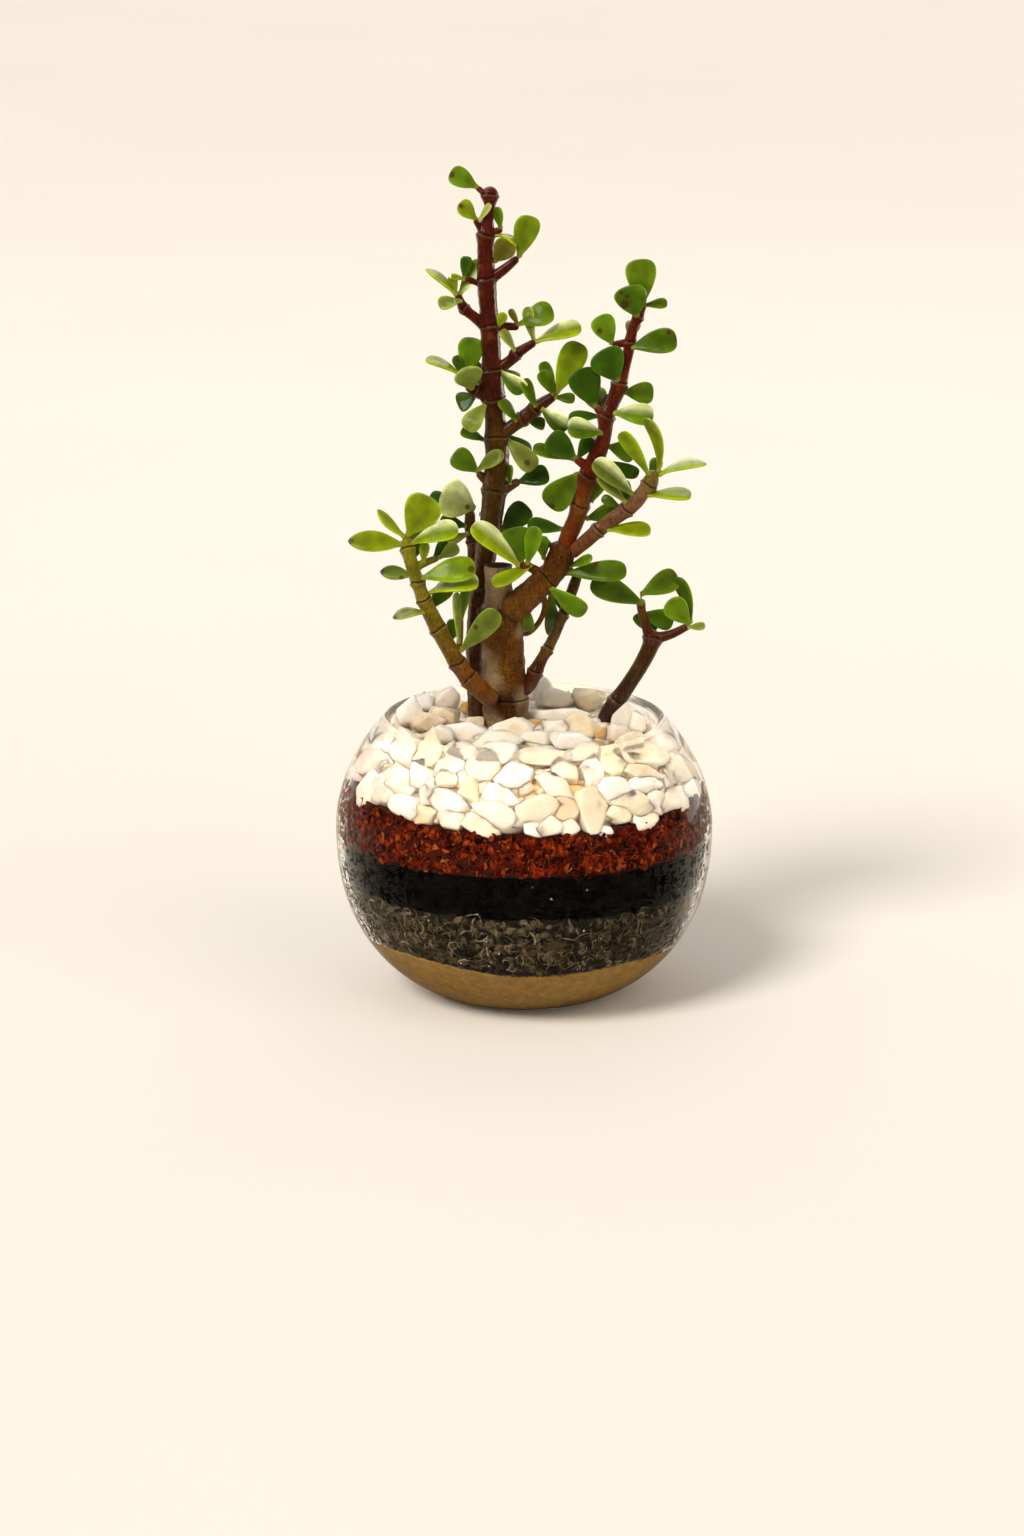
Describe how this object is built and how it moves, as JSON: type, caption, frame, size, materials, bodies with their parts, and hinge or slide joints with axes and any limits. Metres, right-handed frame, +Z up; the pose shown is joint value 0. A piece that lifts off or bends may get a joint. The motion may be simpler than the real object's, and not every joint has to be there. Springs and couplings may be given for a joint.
{
  "type": "potted jade plant",
  "caption": "Small-leaved jade plant with a short cut trunk, upright leafy stems and a cutting, standing in a round glass bowl filled with sand, gravel, charcoal, bark and pale pebbles.",
  "frame": {"origin": "centre of the bowl's flat foot, on the surface that the bowl stands on", "axes": "+Z up, -Y towards the front, +X to the right as seen from the front"},
  "size_m": [0.124, 0.124, 0.2721],
  "materials": {
    "glass": "clear, polished",
    "sand": "fine grained, matte",
    "gravel": "crumbly, matte with pale fibres",
    "charcoal": "dark, slightly glossy",
    "bark": "rough fibrous chips",
    "pebbles": "tumbled, slightly translucent",
    "woody_stem": "weathered bark",
    "leafy_stem": "smooth, waxy, softly glossy"
  },
  "bodies": {
    "root": {"glass_bowl": "glass", "sand_layer": "sand", "gravel_layer": "gravel", "charcoal_layer": "charcoal", "bark_layer": "bark", "pebble_bed": "pebbles", "trunk": "woody_stem", "left_limb": "leafy_stem", "right_limb": "leafy_stem", "right_low_stem": "leafy_stem", "tall_left_stem": "leafy_stem", "tall_right_stem": "leafy_stem", "right_mid_stem": "leafy_stem", "cutting": "leafy_stem"}
  },
  "joints": []
}
